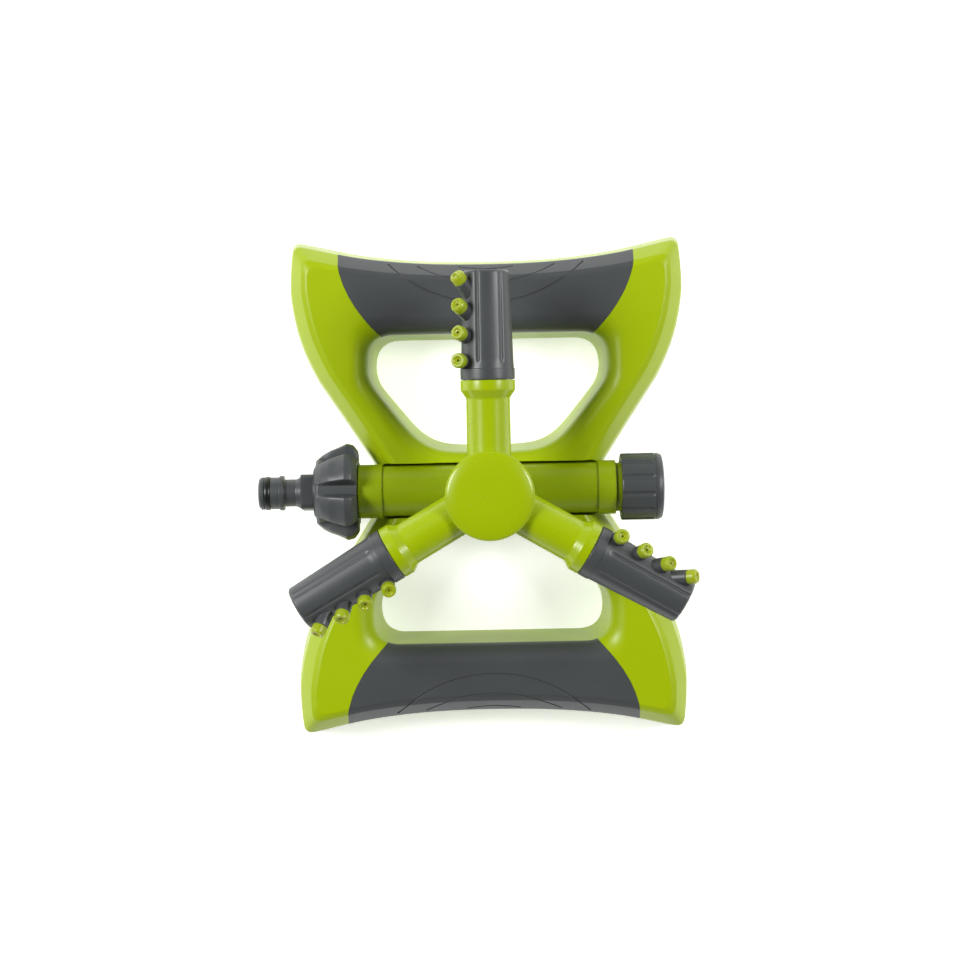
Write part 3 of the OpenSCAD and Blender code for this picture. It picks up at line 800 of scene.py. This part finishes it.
fit(rotor, "rotor", "green_plastic", glossy_lime, "rotor_body")

# ---------------------------------------------------------------------------------------
# Hub cap. A round green disc, slightly domed, pressed into the top of the hub, with a bevelled
# rim that catches the light.
# ---------------------------------------------------------------------------------------

disc_r = span("hub_cap", 0)[1]
disc_line = rounded([(0, 94.2, 0), (5, 94.2, 0.3), (5, 92.6, 0.2), (10.4, 92.6, 0), (10.4, 91.6, 0),
                     (11.9, 91.6, 0), (11.9, 92.6, 0), (20.9, 92.6, 0.2), (disc_r, 93.0, 0.2),
                     (disc_r, 94.8, 0.5), (20.0, 95.6, 3), (16.5, 96.6, 14), (10, 97.2, 40),
                     (0, 97.38, 0)])
disc = turned("hub_disc", *disc_line, count=192)
fit(disc, "rotor", "green_plastic", glossy_lime, "hub_cap")

# ---------------------------------------------------------------------------------------
# Nozzle sleeves. A dark-grey tapered tube with a closed end turns on each arm. It has a collar
# with a fine step, a flat-topped panel between two long shallow grooves, and four round bosses
# on its left that lean further and further outwards.
# ---------------------------------------------------------------------------------------

# Where the tips' faces lie from the hub's middle (out, left, up), and how the jets point
jet_face = [(63.4, 13.9, 13.8), (76.6, 13.9, 14.0), (89.8, 13.9, 13.0), (103.4, 13.9, 10.6)]
jet_lean = np.radians([19, 31, 43, 62])
jet_heading = np.radians([84, 66, 48, 36])
tip_l, tip_r = 4.6, 3.5
stem_end = tip_l + 9.1
jet_r = 1.9
sleeve_start, sleeve_end = span("nozzle_sleeve_1", 1)
grooves_at = (-6.9, 4.3)


def jet_turn(k):
    """Where a jet's x, y and z go on its arm, in (out, left, up): z leans from upright towards
    the jet's heading, x leans with it and y lies level."""
    lean, head = jet_lean[k], jet_heading[k]
    return np.array([
        [np.cos(lean) * np.cos(head), np.cos(lean) * np.sin(head), -np.sin(lean)],
        [-np.sin(head), np.cos(head), 0],
        [np.sin(lean) * np.cos(head), np.sin(lean) * np.sin(head), np.cos(lean)]])


def to_arm(i):
    """Where the directions out, left and up of arm i go in the sprinkler's frame."""
    down, left, out = np.array(arm_turn(i))
    return np.array([out, left, -down])


def on_jet(made, i, k):
    """Lays a solid, made about z with the tip's face at 0, on jet k of arm i."""
    turn = jet_turn(k) @ to_arm(i)
    place = np.array(jet_face[k]) @ to_arm(i) + [0, 0, arm_z]
    return lay(made, turn, place)


def sleeve_surface(angle):
    """The sleeve's outside: its radius at each angle (from straight down, turning left) and
    distance out. It tapers from the collar to the closed end; two narrow bell-shaped grooves run
    along the top, and half a cosine lowers the top between them. All fade out near the collar."""
    line = rounded([(9.1, sleeve_start, 0), (12.6, sleeve_start, 0.2), (12.9, 54.7, 0.3),
                    (12.9, 59.4, 0.15), (12.55, 59.7, 0.1), (12.45, 61, 0), (10.9, 104.7, 0.9),
                    (9.9, sleeve_end, 0.5), (0, sleeve_end, 0)])
    line = finer(line, 0.7)
    radius, out = line[:, :1] + 0 * angle, line[:, 1:] + 0 * angle
    across = radius * np.sin(angle)
    low, high = grooves_at
    depth = np.zeros_like(radius)
    for edge in grooves_at:
        depth += 0.6 * np.exp(-((across - edge) / 0.72) ** 2)
    panel = 0.28 * np.cos((across - (low + high) / 2) / (high - low) * np.pi)
    depth += np.where((across > low) & (across < high), panel, 0)
    begin = np.clip((out - 62.2) / 1.4, 0, 1) * (line[:, :1] > 8)
    radius = radius - depth * (np.cos(angle) < 0) * begin
    return np.stack([radius * np.cos(angle), radius * np.sin(angle), out], -1)


def bored(i):
    """The hollow of sleeve i: the running fit on the spigot, the groove for its bead and the
    water space beyond."""
    space = turned("space", (0, 53), (9.06, 53), (9.06, 66.9), (9.8, 67), (9.8, 69), (9.06, 69.1),
                   (9.06, 71.5), (8.2, 71.6), (8.2, 102.6), (0, 102.6))
    return lay(space, arm_turn(i), (0, 0, arm_z))


angle = np.linspace(0, 2 * np.pi, 361)
middle = np.broadcast_to(np.array([0, 0, sleeve_start]), (1, len(angle), 3))
for i in (1, 2, 3):
    sleeve = solid(f"sleeve_{i}", np.concatenate([middle, sleeve_surface(angle)]))
    lay(sleeve, arm_turn(i), (0, 0, arm_z))
    for k in range(4):
        stem = turned("stem", *rounded([(0, -stem_end, 0), (tip_r + 0.2, -stem_end, 0),
                                        (tip_r, -tip_l, 0.35), (0, -tip_l, 0)]), count=64)
        combine(sleeve, ("UNION", on_jet(stem, i, k)))
    combine(sleeve, ("DIFFERENCE", bored(i)))
    for k in range(4):
        bore = turned("bore", (0, -stem_end - 2), (jet_r, -stem_end - 2), (jet_r, 1), (0, 1),
                      count=48)
        combine(sleeve, ("DIFFERENCE", on_jet(bore, i, k)))
    fit(sleeve, f"sleeve_{i}", "dark_plastic", graphite, f"nozzle_sleeve_{i}")

# ---------------------------------------------------------------------------------------
# Nozzle tips. A yellow-green plastic insert is pressed into each boss of the sleeves: a short
# barrel with a bevelled rim and a dished face, drilled with the fine jet.
# ---------------------------------------------------------------------------------------

pin_r = jet_r - 0.05
drill_r = 0.5
tip_line = rounded([(drill_r, -tip_l - 3, 0), (pin_r, -tip_l - 3, 0), (pin_r, -tip_l, 0),
                    (tip_r - 0.2, -tip_l, 0.2), (tip_r, -tip_l + 0.5, 0.2), (tip_r, -1.0, 0.6),
                    (2.9, 0, 0.3), (2.1, 0, 0.25), (1.55, -0.7, 0.4), (0.62, -0.9, 0.15),
                    (drill_r, -1.3, 0), (drill_r, -tip_l - 3, 0)])
tip_green = moulded("jet_plastic", srgb(152, 168, 10), 0.34, grain=0.3, depth=0.002, tone=0.05,
                    scuffs=0.03, IOR=1.5, Subsurface_Weight=0.08)
for i in (1, 2, 3):
    for k in range(4):
        tip = on_jet(turned(f"tip_{i}_{k + 1}", *tip_line[:-1], count=64), i, k)
        fit(tip, f"sleeve_{i}", "jet_plastic", tip_green, f"nozzle_tip_{i}_{k + 1}")

# ---------------------------------------------------------------------------------------
# Floor, light and camera. A plain white floor under large soft lamps, seen from almost
# straight above.
# ---------------------------------------------------------------------------------------

floor_half, floor_z = 9, -1e-4
floor_mesh = bpy.data.meshes.new("floor")
floor_mesh.from_pydata([(x * floor_half, y * floor_half, floor_z)
                        for x, y in ((-1, -1), (1, -1), (1, 1), (-1, 1))], [], [(0, 1, 2, 3)])
floor = bpy.data.objects.new("floor", floor_mesh)
bpy.context.scene.collection.objects.link(floor)
paper = bpy.data.materials.new("white_floor")
paper.use_nodes = True
surface = paper.node_tree.nodes["Principled BSDF"]
for socket, value in (("Base Color", (0.95, 0.95, 0.95, 1)), ("Roughness", 0.9),
                      ("Emission Color", (1, 1, 1, 1)), ("Emission Strength", 0.55)):
    surface.inputs[socket].default_value = value
floor_mesh.materials.append(paper)
floor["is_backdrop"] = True

# The light from all round fades towards the zenith, so that level faces don't mirror it
world = bpy.data.worlds.new("studio")
world.use_nodes = True
background = world.node_tree.nodes["Background"].inputs
sky = Value(world.node_tree, world.node_tree.nodes.new("ShaderNodeTexCoord").outputs["Generated"])
height = sky.node("ShaderNodeSeparateXYZ", output=2, Vector=sky)
glow = 0.05 + 0.45 * (1 - height.within(0.1, 0.7))
background["Color"].default_value = (0.96, 0.98, 1.0, 1)
world.node_tree.links.new(glow.socket, background["Strength"])
bpy.context.scene.world = world
bpy.context.scene.view_settings.view_transform = "Standard"


def lamp(name, place, size, power):
    """A square soft lamp of that size in metres, turned so that it shines at the sprinkler."""
    light = bpy.data.lights.new(name, "AREA")
    light.shape, light.size, light.energy = "SQUARE", size, power
    holder = bpy.data.objects.new(name, light)
    holder.location = place
    holder.rotation_euler = (-Vector(place)).to_track_quat("-Z", "Y").to_euler()
    bpy.context.scene.collection.objects.link(holder)


lamp("left", (-1.15, 0.4, 1.15), 0.6, 23)
lamp("right", (1.2, 0.4, 1.15), 0.5, 18)

# The camera looks down, a little off plumb, at a point on the ground near the rotor's axis
target, distance = Vector((0.0, -0.0026, 0.0)), 1.0017
camera = bpy.data.objects.new("camera", bpy.data.cameras.new("camera"))
camera.data.sensor_width = 36
camera.data.lens = 71.4
camera.rotation_euler = (np.radians(-3.3), 0, np.radians(-1.1))
camera.location = target + camera.rotation_euler.to_matrix() @ Vector((0, 0, distance))
bpy.context.scene.collection.objects.link(camera)
bpy.context.scene.camera = camera

low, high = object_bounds()
